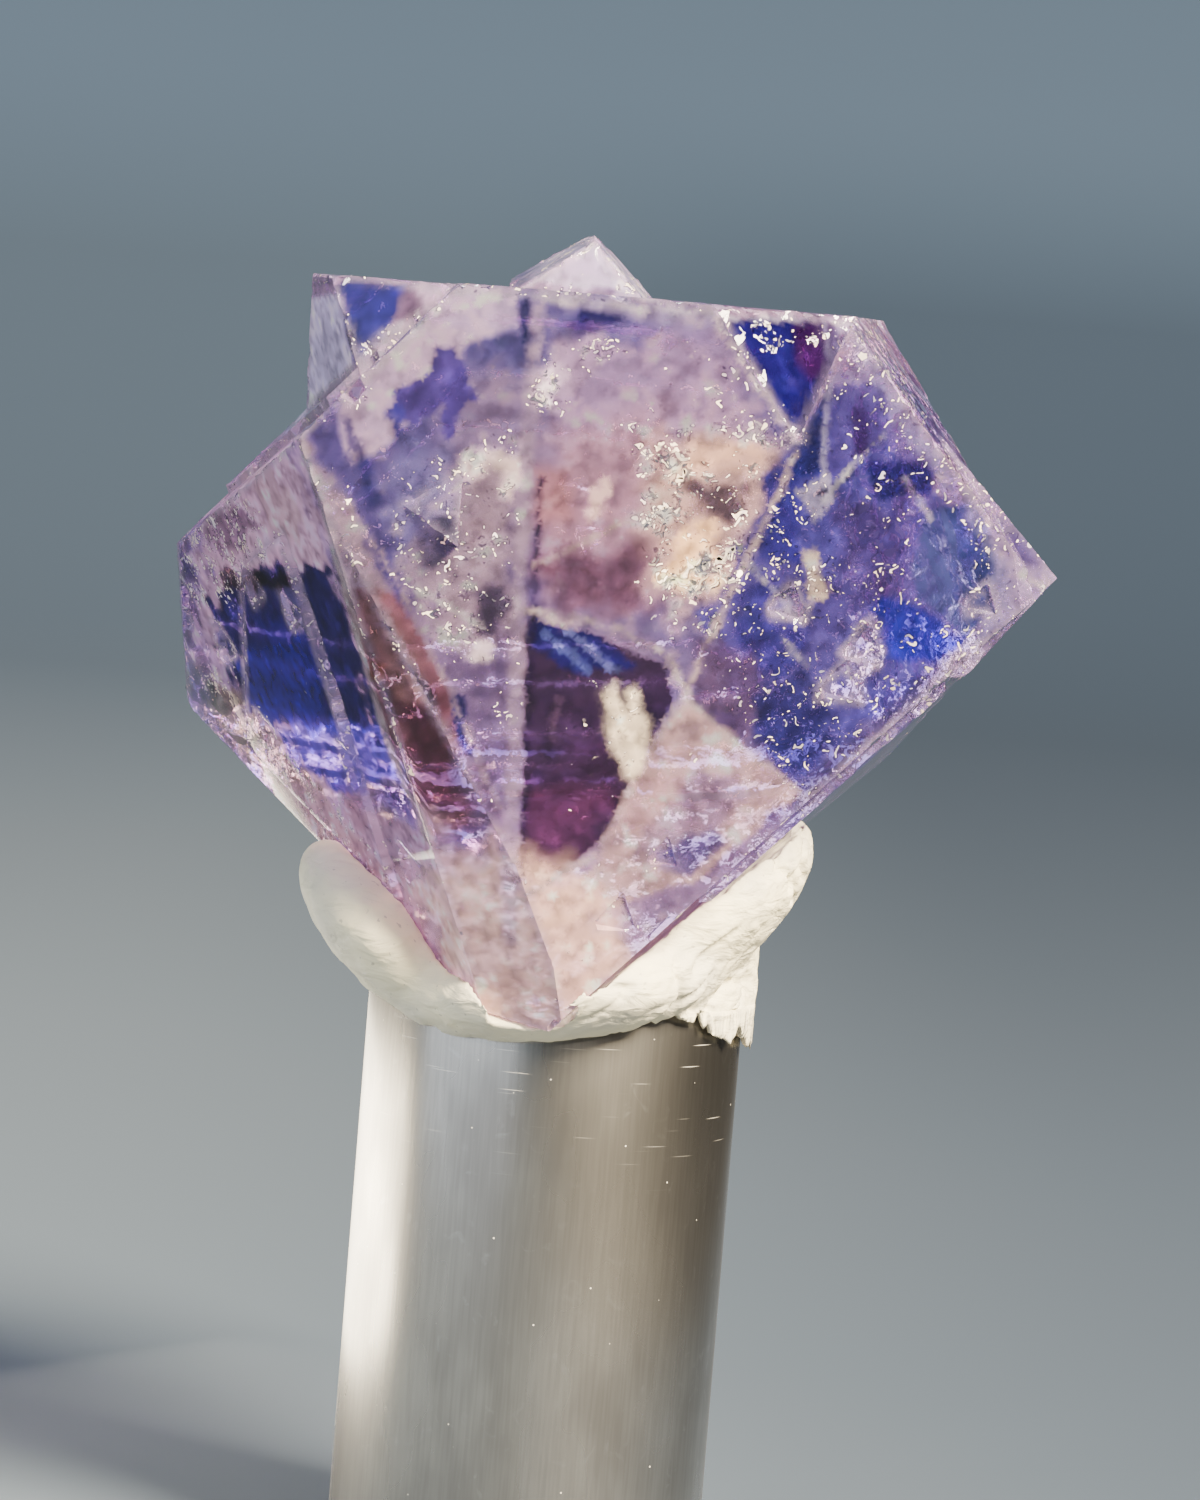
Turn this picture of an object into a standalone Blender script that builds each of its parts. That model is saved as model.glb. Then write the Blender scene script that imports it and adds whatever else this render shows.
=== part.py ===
"""An octahedral fluorite crystal held by putty on the end of a round steel post.

Metres, +Z up along the post. The origin is the centre of the post's foot, and -Y is the front.
"""
import math
import random

import bmesh
import bpy
from mathutils import Euler, Matrix, Vector

MM = 0.001

# Post, in metres
POST_RADIUS = 5.0 * MM
POST_HEIGHT = 15.9 * MM
POST_CHAMFER = 0.25 * MM
POST_SIDES = 72

# Crystal: its centre in metres, and its faces as a goniometer would give them.
# Each face is (degrees round from the front, degrees above level, mm from the centre).
CRYSTAL_CENTRE = Vector((0.24, -2.37, 27.05)) * MM
CRYSTAL_FACES = {
    "front left": (-2.5, -12.0, 7.06),
    "front right": (7.0, -11.5, 6.74),
    "front edge bevel": (-23.0, -22.5, 8.14),
    "textured right": (19.0, -15.0, 6.98),
    "left flank": (-64.0, -25.5, 7.98),
    "left end": (-84.0, -8.5, 10.82),
    "upper left": (-86.5, 41.5, 8.07),
    "under": (178.0, -60.0, 8.09),
    "lower right": (80.0, -43.0, 8.3),
    "right rim": (80.5, 38.0, 9.62),
    "right back": (112.0, 18.0, 8.45),
    "back": (-171.0, 15.5, 8.6),
    "top cleavage": (180.0, 90.0, 7.07),
}
# The directions of the three corner-to-corner axes of the octahedron
OCTAHEDRON_TURN = Euler([math.radians(a) for a in (160.41, -7.91, -31.25)])

# Smaller crystals grown parallel to the main one: centre in mm, then faces as above
CORNER_CRYSTALS = {
    "top left corner": ((-4.2, -5.2, 31.6), {
        "front": (-17.5, 9.0, 3.91),
        "left front": (-70.0, -15.5, 2.89),
        "left": (-91.0, 2.5, 3.5),
        "top left": (-70.0, 48.0, 4.25),
        "right": (90.0, 0.0, 0.9),
        "under": (-90.0, -58.0, 2.9),
        "back": (178.0, 10.0, 7.0),
        "top": (180.0, 90.0, 2.5),
    }),
    "top bump": ((-0.8, 1.2, 33.9), {
        "left": (-78.0, 55.0, 1.42),
        "right": (84.0, 45.0, 1.42),
        "front": (6.0, 22.0, 1.5),
        "back": (190.0, 28.0, 1.9),
        "tip": (20.0, 80.0, 1.8),
        "lower left": (-90.0, 0.0, 2.0),
        "lower right": (90.0, 0.0, 2.2),
        "foot": (0.0, -90.0, 1.0),
    }),
    "right tip": ((9.6, -4.4, 27.75), {
        "front": (22.0, -6.0, 1.4),
        "upper right": (87.5, 44.0, 1.82),
        "lower right": (85.5, -38.0, 1.82),
        "back": (150.0, 10.0, 2.2),
        "left": (-90.0, 0.0, 2.5),
        "top": (0.0, 90.0, 3.5),
        "foot": (0.0, -90.0, 2.6),
    }),
}

# Growth terraces: the face they lie on, their height, how far each other face is drawn in (mm)
TERRACES = (
    ("left flank", 0.16, 0.9, 2.0),
    ("left flank", 0.30, 1.9, 5.2),
    ("under", 0.22, 1.4, 1.2),
    ("under", 0.42, 3.2, 2.2),
    ("back", 0.25, 1.0, 1.7),
    ("back", 0.48, 2.1, 3.3),
    ("right back", 0.22, 0.8, 2.4),
    ("right back", 0.42, 2.4, 3.0),
    ("upper left", 0.20, 1.6, 1.2),
    ("lower right", 0.18, 1.3, 2.2),
)
# Flat-floored recess of the dark corner window at the upper right of the front
WINDOW_CENTRE = Vector((4.4, -9.6, 33.2)) * MM
WINDOW_FACES = {
    "floor": (-153.0, -17.5, 0.62),
    "left wall": (-91.0, -36.0, 0.97),
    "right wall": (88.0, -19.5, 1.23),
    "front": (0.0, 0.0, 3.0),
    "top": (0.0, 90.0, 2.0),
    "foot": (0.0, -90.0, 3.2),
}

PIT_COUNT = 36
PIT_SIZE = (0.45 * MM, 1.0 * MM)
PIT_DEPTH = (0.08 * MM, 0.18 * MM)
PITTED_FACES = ("textured right", "left flank", "back", "right back", "under", "upper left")
CHIP_COUNT = 30
CHIP_SIZE = (0.35 * MM, 0.7 * MM)
WORN_FACES = ("left end", "right rim", "upper left", "lower right", "top cleavage", "back")
SEED = 11

# Putty: lumps as (centre, half sizes, tilt about Y in degrees), in mm
PUTTY_LUMPS = {
    "seat": ((0.1, -1.0, 16.25), (4.8, 6.2, 1.85), -10.0),
    "left lobe": ((-4.5, -1.0, 17.0), (3.2, 4.2, 1.5), 40.0),
    "right lobe": ((3.3, -0.9, 18.0), (4.1, 4.3, 1.85), -43.0),
    "back lobe": ((-0.4, 2.6, 18.3), (4.3, 3.0, 2.0), -6.0),
}
PUTTY_GAP = 0.08 * MM
PUTTY_FRONT_TRIM = 2.0 * MM      # no putty stands in front of the crystal's foot
PUTTY_VOXEL = 0.36 * MM
SMEAR_THICKNESS = 0.32 * MM
SMEAR_DROP = 1.9 * MM
SMEAR_START, SMEAR_END = 36.0, 118.0      # degrees round the post from the front, to the right
SMEAR_EDGE = (-90.0, -62.0)               # the way its slanting lower edge faces
SMEAR_EDGE_POINT = Vector((3.8, -4.5, 15.3)) * MM


def clear_scene():
    for obj in list(bpy.data.objects):
        bpy.data.objects.remove(obj, do_unlink=True)


def new_collection(name, parent):
    collection = bpy.data.collections.new(name)
    parent.children.link(collection)
    return collection


def facing(around, above):
    """Unit direction from degrees round from the front (-Y, right positive) and degrees above level."""
    around, above = math.radians(around), math.radians(above)
    level = math.cos(above)
    return Vector((math.sin(around) * level, -math.cos(around) * level, math.sin(above)))


def octahedron(size):
    """The octahedron primitive, its corners on the axes, size from the centre to each corner."""
    bm = bmesh.new()
    bmesh.ops.create_uvsphere(bm, u_segments=4, v_segments=2, radius=size)
    return bm


def cut_flat(bm, point, outward):
    """Cuts away what lies past the plane, and closes the cut with one flat face."""
    everything = bm.verts[:] + bm.edges[:] + bm.faces[:]
    cut = bmesh.ops.bisect_plane(bm, geom=everything, plane_co=point, plane_no=outward, clear_outer=True,
                                 dist=1e-7)
    rim = [item for item in cut["geom_cut"] if isinstance(item, bmesh.types.BMEdge)]
    if rim:
        bmesh.ops.contextual_create(bm, geom=rim)


def crystal_body(centre, faces, extra=0.0, drawn_in=None):
    """A large octahedron cut down to the listed faces. drawn_in gives some faces a shift inwards, in metres."""
    bm = octahedron(60 * MM)
    bmesh.ops.rotate(bm, verts=bm.verts, matrix=OCTAHEDRON_TURN.to_matrix())
    bmesh.ops.translate(bm, verts=bm.verts, vec=centre)
    for name, (around, above, distance) in faces.items():
        outward = facing(around, above)
        reach = distance * MM + extra - (drawn_in or {}).get(name, 0.0)
        cut_flat(bm, centre + outward * reach, outward)
    bmesh.ops.recalc_face_normals(bm, faces=bm.faces)
    return bm


def add_object(name, bm, collection, material=None):
    mesh = bpy.data.meshes.new(name)
    bm.to_mesh(mesh)
    bm.free()
    obj = bpy.data.objects.new(name, mesh)
    collection.objects.link(obj)
    if material:
        mesh.materials.append(material)
    return obj


def as_helper(obj):
    obj.hide_render = True
    obj.display_type = "WIRE"
    return obj


def add_boolean(obj, operation, operand):
    modifier = obj.modifiers.new(operation.title(), "BOOLEAN")
    modifier.operation = operation
    modifier.solver = "EXACT"
    if isinstance(operand, bpy.types.Collection):
        modifier.operand_type = "COLLECTION"
        modifier.collection = operand
    else:
        modifier.object = operand


def make_material(name, colour, roughness, metallic=0.0, transmission=0.0, ior=1.45):
    material = bpy.data.materials.new(name)
    material.use_nodes = True
    shader = material.node_tree.nodes["Principled BSDF"]
    shader.inputs["Base Color"].default_value = (*colour, 1.0)
    shader.inputs["Roughness"].default_value = roughness
    shader.inputs["Metallic"].default_value = metallic
    shader.inputs["Transmission Weight"].default_value = transmission
    shader.inputs["IOR"].default_value = ior
    return material


def make_terraces(collection, extra=0.0):
    """Thin plates on the large faces, each bounded by edges parallel to the crystal's own."""
    rng = random.Random(SEED)
    for count, (face, rise, least, most) in enumerate(TERRACES):
        drawn_in = {name: rng.uniform(least, most) * MM for name in CRYSTAL_FACES if name != face}
        drawn_in[face] = -rise * MM
        plate = crystal_body(CRYSTAL_CENTRE, CRYSTAL_FACES, extra, drawn_in)
        as_helper(add_object(f"terrace_{count}", plate, collection))


def make_corner_crystals(collection):
    for name, (centre, faces) in CORNER_CRYSTALS.items():
        body = crystal_body(Vector(centre) * MM, faces)
        as_helper(add_object(name.replace(" ", "_"), body, collection))


def named_face(bm, name):
    around, above, _ = CRYSTAL_FACES[name]
    outward = facing(around, above)
    return max(bm.faces, key=lambda face: face.normal.dot(outward))


def point_on_face(face, rng, inwards):
    """A point of a flat face, drawn from its edge to its middle by a share between the two of inwards."""
    corners = [vert.co for vert in face.verts]
    start = rng.randrange(len(corners))
    edge_point = corners[start].lerp(corners[(start + 1) % len(corners)], rng.random())
    return edge_point.lerp(face.calc_center_median(), rng.uniform(*inwards))


def on_surface(obj, near, outward):
    """Where a line from outside to a point near the surface first meets the object."""
    found, point, _, _ = obj.ray_cast(near + outward * 5 * MM, -outward)
    return point if found else near


def small_octahedron(size, stretch, rng):
    """An octahedron lying as the crystal does, give or take a degree or two."""
    bm = octahedron(size)
    bmesh.ops.scale(bm, vec=Vector((1.0, stretch, 1.0)), verts=bm.verts)
    wobble = Euler([rng.uniform(-0.04, 0.04) for _ in range(3)])
    bmesh.ops.rotate(bm, verts=bm.verts, matrix=OCTAHEDRON_TURN.to_matrix() @ wobble.to_matrix())
    return bm


def make_pits(crystal, body, collection):
    """Flat-floored triangular growth pits on the large faces."""
    rng = random.Random(SEED + 1)
    for count in range(PIT_COUNT):
        face = named_face(body, PITTED_FACES[count % len(PITTED_FACES)])
        point = on_surface(crystal, point_on_face(face, rng, (0.15, 0.85)), face.normal)
        size = rng.uniform(*PIT_SIZE)
        pit = small_octahedron(size, 1.0, rng)
        lift = size / math.sqrt(3) - rng.uniform(*PIT_DEPTH)
        bmesh.ops.translate(pit, verts=pit.verts, vec=point + face.normal * lift)
        as_helper(add_object(f"pit_{count}", pit, collection))


def make_chips(crystal, body, collection):
    """Small breaks along the edges of the faces that are knocked the most."""
    rng = random.Random(SEED + 2)
    for count in range(CHIP_COUNT):
        face = named_face(body, WORN_FACES[count % len(WORN_FACES)])
        edge = rng.choice(list(face.edges))
        near = edge.verts[0].co.lerp(edge.verts[1].co, rng.uniform(0.06, 0.94))
        outward = sum((side.normal for side in edge.link_faces), Vector()).normalized()
        size = rng.uniform(*CHIP_SIZE)
        chip = small_octahedron(size, rng.uniform(1.0, 1.7), rng)
        point = on_surface(crystal, near, outward) + outward * size * 0.45
        bmesh.ops.translate(chip, verts=chip.verts, vec=point)
        as_helper(add_object(f"chip_{count}", chip, collection))


def apply_modifiers(obj):
    """Keeps the shape that the modifiers give as the object's own mesh."""
    bpy.context.view_layer.update()
    graph = bpy.context.evaluated_depsgraph_get()
    obj.data = bpy.data.meshes.new_from_object(obj.evaluated_get(graph))
    obj.modifiers.clear()


def make_crystal(parts, helpers):
    growths = new_collection("crystal growths", helpers)
    breaks = new_collection("crystal breaks", helpers)
    violet = make_material("violet fluorite", (0.34, 0.26, 0.62), 0.08, transmission=0.85, ior=1.434)
    body = crystal_body(CRYSTAL_CENTRE, CRYSTAL_FACES)
    crystal = add_object("fluorite_crystal", body.copy(), parts, violet)
    make_terraces(growths)
    make_corner_crystals(growths)
    add_boolean(crystal, "UNION", growths)
    apply_modifiers(crystal)
    make_pits(crystal, body, breaks)
    make_chips(crystal, body, breaks)
    window = crystal_body(WINDOW_CENTRE, WINDOW_FACES)
    as_helper(add_object("corner_window", window, breaks))
    body.free()
    add_boolean(crystal, "DIFFERENCE", breaks)
    return crystal


def post_body(radius, height, foot=0.0):
    bm = bmesh.new()
    bmesh.ops.create_cone(bm, cap_ends=True, segments=POST_SIDES, radius1=radius, radius2=radius,
                          depth=height - foot)
    bmesh.ops.translate(bm, verts=bm.verts, vec=(0, 0, (height + foot) / 2))
    return bm


def make_post(parts):
    steel = make_material("brushed steel", (0.42, 0.40, 0.37), 0.32, metallic=1.0)
    post = add_object("steel_post", post_body(POST_RADIUS, POST_HEIGHT), parts, steel)
    bevel = post.modifiers.new("Chamfer", "BEVEL")
    bevel.width = POST_CHAMFER
    bevel.segments = 2
    bevel.limit_method = "ANGLE"
    bevel.angle_limit = math.radians(60)
    post.data.shade_smooth()
    post.data.set_sharp_from_angle(angle=math.radians(40))
    return post


def make_lump(name, centre, half_sizes, tilt, collection):
    bm = bmesh.new()
    bmesh.ops.create_icosphere(bm, subdivisions=4, radius=MM)
    bmesh.ops.scale(bm, vec=Vector(half_sizes), verts=bm.verts)
    turn = Matrix.Rotation(math.radians(tilt), 4, "Y")
    bmesh.ops.transform(bm, matrix=Matrix.Translation(Vector(centre) * MM) @ turn, verts=bm.verts)
    return add_object(name, bm, collection)


def make_smear(helpers):
    """The sheet of putty dragged down the post's right flank: a slice of a wider cylinder."""
    top = POST_HEIGHT + 1.6 * MM
    bm = post_body(POST_RADIUS + SMEAR_THICKNESS, top, POST_HEIGHT - SMEAR_DROP)
    for degrees, side in ((SMEAR_START, -1), (SMEAR_END, 1)):
        edge = facing(degrees, 0)
        across = Vector((-edge.y, edge.x, 0)) * side
        cut_flat(bm, Vector(), across)
    cut_flat(bm, SMEAR_EDGE_POINT, facing(*SMEAR_EDGE))
    return as_helper(add_object("putty_smear", bm, helpers))


def make_putty(parts, helpers):
    lumps = new_collection("putty lumps", helpers)
    clearance = new_collection("putty clearance", helpers)
    off_white = make_material("off-white putty", (0.83, 0.80, 0.71), 0.75)
    putty = make_lump("mounting_putty", *PUTTY_LUMPS["seat"], parts)
    putty.data.materials.append(off_white)
    for name, lump in PUTTY_LUMPS.items():
        if name != "seat":
            as_helper(make_lump(name.replace(" ", "_"), *lump, lumps))
    add_boolean(putty, "UNION", lumps)
    remesh = putty.modifiers.new("Even mesh", "REMESH")
    remesh.mode = "VOXEL"
    remesh.voxel_size = PUTTY_VOXEL
    smooth = putty.modifiers.new("Blend lumps", "SMOOTH")
    smooth.factor = 0.5
    smooth.iterations = 8
    add_boolean(putty, "UNION", make_smear(helpers))
    front_open = {name: -PUTTY_FRONT_TRIM for name in CRYSTAL_FACES if name.startswith("front")}
    room = crystal_body(CRYSTAL_CENTRE, CRYSTAL_FACES, PUTTY_GAP, front_open)
    as_helper(add_object("crystal_room", room, clearance))
    make_terraces(clearance, PUTTY_GAP)
    post_room = post_body(POST_RADIUS + PUTTY_GAP, POST_HEIGHT + PUTTY_GAP, -MM)
    as_helper(add_object("post_room", post_room, clearance))
    add_boolean(putty, "DIFFERENCE", clearance)
    return putty


def main():
    clear_scene()
    root = bpy.context.scene.collection
    parts = new_collection("fluorite octahedron", root)
    helpers = new_collection("helpers", root)
    make_post(parts)
    make_crystal(parts, helpers)
    make_putty(parts, helpers)


main()
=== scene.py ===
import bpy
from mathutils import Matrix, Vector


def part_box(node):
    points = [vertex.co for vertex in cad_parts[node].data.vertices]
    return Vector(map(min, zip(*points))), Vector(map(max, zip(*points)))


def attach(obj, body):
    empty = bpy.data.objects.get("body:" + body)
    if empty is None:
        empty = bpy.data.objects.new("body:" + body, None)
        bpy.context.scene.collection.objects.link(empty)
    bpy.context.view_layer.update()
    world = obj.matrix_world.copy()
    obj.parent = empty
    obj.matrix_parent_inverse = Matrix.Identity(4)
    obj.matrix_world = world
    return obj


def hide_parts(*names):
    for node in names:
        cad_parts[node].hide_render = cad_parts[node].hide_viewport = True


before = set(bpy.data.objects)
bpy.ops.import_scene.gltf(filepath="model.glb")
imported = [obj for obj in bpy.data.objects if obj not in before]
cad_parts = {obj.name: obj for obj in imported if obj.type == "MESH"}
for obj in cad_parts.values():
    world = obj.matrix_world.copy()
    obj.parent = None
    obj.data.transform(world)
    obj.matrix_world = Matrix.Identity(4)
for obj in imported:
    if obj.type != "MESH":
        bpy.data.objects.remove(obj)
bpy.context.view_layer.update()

import math

import bpy
import numpy as np
from mathutils import Euler, Matrix, Vector
from mathutils import noise as randomNoise
from mathutils.kdtree import KDTree

mm = 0.001


# small helpers

def deselectAll():
    bpy.ops.object.select_all(action="DESELECT")


def makeActive(obj):
    deselectAll()
    obj.select_set(True)
    bpy.context.view_layer.objects.active = obj


def copyOfNode(nodeName, pieceName):  # the solid's own mesh, merged, as a new piece to work on
    makeActive(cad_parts[nodeName])
    bpy.ops.object.duplicate()
    piece = bpy.context.active_object
    piece.name = pieceName
    piece.data.name = pieceName
    piece.parent = None
    piece.matrix_world = Matrix.Identity(4)
    makeActive(piece)
    bpy.ops.object.mode_set(mode="EDIT")
    bpy.ops.mesh.select_all(action="SELECT")
    bpy.ops.mesh.remove_doubles(threshold=0.002 * mm)
    bpy.ops.object.mode_set(mode="OBJECT")
    return piece


def applyModifiers(piece):
    makeActive(piece)
    for modifier in list(piece.modifiers):
        bpy.ops.object.modifier_apply(modifier=modifier.name)


def giveMaterial(piece, material):
    piece.data.materials.clear()
    piece.data.materials.append(material)


def toLinear(red, green, blue):  # a colour as seen on screen, 0 to 255, to the shader's own scale
    def one(value):
        value = value / 255
        return value / 12.92 if value <= 0.04045 else ((value + 0.055) / 1.055) ** 2.4
    return (one(red), one(green), one(blue), 1.0)


# shader helpers: each takes sockets or plain values, and returns the socket of its result

def setInput(tree, socket, value):
    if isinstance(value, bpy.types.NodeSocket):
        tree.links.new(value, socket)
    elif value is not None:
        socket.default_value = value


def parts(tree, vector):  # the X, Y and Z of a vector, by name
    node = tree.nodes.new("ShaderNodeSeparateXYZ")
    setInput(tree, node.inputs[0], vector)
    return node.outputs


def newMaterial(name):
    material = bpy.data.materials.new(name)
    material.use_nodes = True
    return material, material.node_tree, material.node_tree.nodes["Principled BSDF"]


def calc(tree, operation, a, b, clamp=False):
    node = tree.nodes.new("ShaderNodeMath")
    node.operation = operation
    node.use_clamp = clamp
    for socket, value in zip(node.inputs, (a, b)):
        setInput(tree, socket, value)
    return node.outputs[0]


def vectorCalc(tree, operation, a, b=None):
    node = tree.nodes.new("ShaderNodeVectorMath")
    node.operation = operation
    setInput(tree, node.inputs[0], a)
    setInput(tree, node.inputs["Scale" if operation == "SCALE" else 1], b)
    return node.outputs["Vector"]


def mapped(tree, vector, scale=(1, 1, 1), turn=(0, 0, 0), shift=(0, 0, 0)):
    node = tree.nodes.new("ShaderNodeMapping")
    setInput(tree, node.inputs["Vector"], vector)
    node.inputs["Scale"].default_value = scale
    node.inputs["Rotation"].default_value = turn
    node.inputs["Location"].default_value = shift
    return node.outputs["Vector"]


def ranged(tree, value, low, high, toLow=0.0, toHigh=1.0):  # a value eased from one range to another
    node = tree.nodes.new("ShaderNodeMapRange")
    node.interpolation_type = "SMOOTHSTEP"
    for socket, number in zip(node.inputs, (value, low, high, toLow, toHigh)):
        setInput(tree, socket, number)
    return node.outputs[0]


def noise(tree, vector, scale, detail=2.0, distortion=0.0, colour=False):
    node = tree.nodes.new("ShaderNodeTexNoise")
    setInput(tree, node.inputs["Vector"], vector)
    node.inputs["Scale"].default_value = scale
    node.inputs["Detail"].default_value = detail
    node.inputs["Distortion"].default_value = distortion
    return node.outputs["Color" if colour else "Fac"]


def cells(tree, vector, scale, output="Distance"):  # round cells: how far off their middle is, or a colour
    node = tree.nodes.new("ShaderNodeTexVoronoi")
    setInput(tree, node.inputs["Vector"], vector)
    node.inputs["Scale"].default_value = scale
    return node.outputs[output]


def blend(tree, share, below, above, kind="MIX"):
    node = tree.nodes.new("ShaderNodeMix")
    node.data_type = "RGBA"
    node.blend_type = kind
    setInput(tree, node.inputs["Factor"], share)
    setInput(tree, node.inputs[6], below)
    setInput(tree, node.inputs[7], above)
    return node.outputs[2]


def objectPoint(tree):  # the piece's own coordinates, in millimetres
    node = tree.nodes.new("ShaderNodeTexCoord")
    return mapped(tree, node.outputs["Object"], scale=(1000, 1000, 1000))


def bumped(tree, height, depth, below=None):
    node = tree.nodes.new("ShaderNodeBump")
    node.inputs["Distance"].default_value = depth * mm
    setInput(tree, node.inputs["Height"], height)
    if below is not None:
        setInput(tree, node.inputs["Normal"], below)
    return node.outputs["Normal"]


# camera

cameraPlan = {
    "aimAt": Vector((0.624, 0.0, 22.16)),
    "distance": 150.0,
    "elevation": math.radians(4.0),
    "lean": math.radians(4.68),  # the post leans this far to the right in the frame
    "sensor": 36.0,
    "viewHeight": 40.0,  # millimetres of the object from the frame's foot to its head
    "frameSize": (1200, 1500),
}


def viewAxes():  # the frame's right, its up, and the way back to the camera, as rows
    up = Vector((0, math.sin(cameraPlan["elevation"]), math.cos(cameraPlan["elevation"])))
    back = Vector((0, -math.cos(cameraPlan["elevation"]), math.sin(cameraPlan["elevation"])))
    right = Vector((1, 0, 0))
    lean = cameraPlan["lean"]
    return Matrix((
        right * math.cos(lean) + up * math.sin(lean),
        up * math.cos(lean) - right * math.sin(lean),
        back,
    ))


def makeCamera():
    data = bpy.data.cameras.new("frontCamera")
    camera = bpy.data.objects.new("frontCamera", data)
    bpy.context.scene.collection.objects.link(camera)
    data.sensor_width = cameraPlan["sensor"]
    data.lens = cameraPlan["sensor"] * cameraPlan["distance"] / cameraPlan["viewHeight"]
    data.clip_start = 0.01
    data.clip_end = 20
    axes = viewAxes()
    camera.matrix_world = axes.transposed().to_4x4()
    camera.location = (cameraPlan["aimAt"] + axes[2] * cameraPlan["distance"]) * mm
    bpy.context.scene.camera = camera


# floor and light

stagePlan = {
    "flatRadius": 0.38,
    "wallRadius": 0.75,
    "wallHeight": 0.75,
    "steps": 14,
    "leftColour": toLinear(80, 91, 104),
    "rightColour": toLinear(46, 58, 74),
    "sideShade": (0.08, 0.09, 0.11, 1.0),  # painted shade to the right, out of the frame, that the post mirrors as its dark edge
    "wallShade": (1.6, 1.9, 2.3, 1.0),
    "sky": (0.68, 0.73, 0.80, 1.0),
    "skyStrength": 0.28,
}


def makeFloor():  # a round pale sweep, level under the post and curving up far off on all sides
    deselectAll()
    bpy.ops.mesh.primitive_circle_add(vertices=96, radius=stagePlan["flatRadius"], fill_type="NGON")
    floor = bpy.context.active_object
    floor.name = "studioFloor"
    bpy.ops.object.mode_set(mode="EDIT")
    bpy.ops.mesh.select_mode(type="EDGE")
    bpy.ops.mesh.select_all(action="SELECT")
    bpy.ops.mesh.region_to_loop()
    reach = stagePlan["wallRadius"] - stagePlan["flatRadius"]
    radius, height = stagePlan["flatRadius"], 0.0
    for step in range(1, stagePlan["steps"] + 1):
        angle = math.pi / 2 * step / stagePlan["steps"]
        nextRadius = stagePlan["flatRadius"] + reach * math.sin(angle)
        nextHeight = reach * (1 - math.cos(angle))
        bpy.ops.mesh.extrude_region_move(TRANSFORM_OT_translate={"value": (0, 0, nextHeight - height)})
        grow = nextRadius / radius
        bpy.ops.transform.resize(value=(grow, grow, 1), center_override=(0, 0, nextHeight))
        radius, height = nextRadius, nextHeight
    rise = stagePlan["wallHeight"] - height
    bpy.ops.mesh.extrude_region_move(TRANSFORM_OT_translate={"value": (0, 0, rise)})
    bpy.ops.mesh.select_all(action="SELECT")
    bpy.ops.mesh.normals_make_consistent(inside=True)
    bpy.ops.object.mode_set(mode="OBJECT")
    bpy.ops.object.shade_smooth()
    floor.location.z = -0.02 * mm
    material, tree, shader = newMaterial("paleFloor")
    across = parts(tree, objectPoint(tree))
    distant = ranged(tree, across["Y"], 120.0, 600.0, 0.0, 0.6)
    wall = calc(tree, "MAXIMUM", ranged(tree, across["Z"], 5.0, 70.0), distant)
    # painted shade: the near floor darker to the right, the far floor and wall left out
    shade = ranged(tree, across["X"], -30.0, 30.0)
    shade = calc(tree, "MULTIPLY", shade, calc(tree, "SUBTRACT", 1.0, wall))
    colour = blend(tree, shade, stagePlan["leftColour"], stagePlan["rightColour"])
    # painted shade, much darker out of the frame to the right
    outward = calc(tree, "SUBTRACT", across["X"], calc(tree, "MULTIPLY", across["Y"], 0.125))
    side = ranged(tree, outward, 24.0, 50.0)
    colour = blend(tree, side, colour, stagePlan["sideShade"], kind="MULTIPLY")
    colour = blend(tree, wall, colour, stagePlan["wallShade"], kind="MULTIPLY")
    setInput(tree, shader.inputs["Base Color"], colour)
    shader.inputs["Roughness"].default_value = 0.85
    giveMaterial(floor, material)


lights = {  # place and aim in millimetres, size in millimetres, power in watts
    "keyLight": {"at": (190, -210, 260), "size": (130, 130), "power": 12.5, "colour": (1.0, 0.86, 0.62)},
    "leftStrip": {"at": (-22, 15.5, 6.6), "size": (40, 12), "power": 0.0092, "colour": (1.0, 0.89, 0.68),
                  "aimHeight": 6.6, "spread": math.radians(100), "glossOnly": True},
    "fillLight": {"at": (-260, -200, 120), "size": (420, 420), "power": 0.9, "colour": (0.80, 0.88, 1.0)},
    "topLight": {"at": (0, 120, 320), "size": (220, 220), "power": 0.5, "colour": (0.95, 0.96, 1.0)},
}

glintPlan = {  # small bright lamps low round the front, for the sparkle of the growth faces
    "turns": (-48, -14, 14, 38, 66),
    "heights": (150, 190, 140, 210, 160),
    "distance": 300,
    "size": 22,
    "power": 0.12,
    "colour": (1.0, 0.92, 0.80),
}


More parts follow.
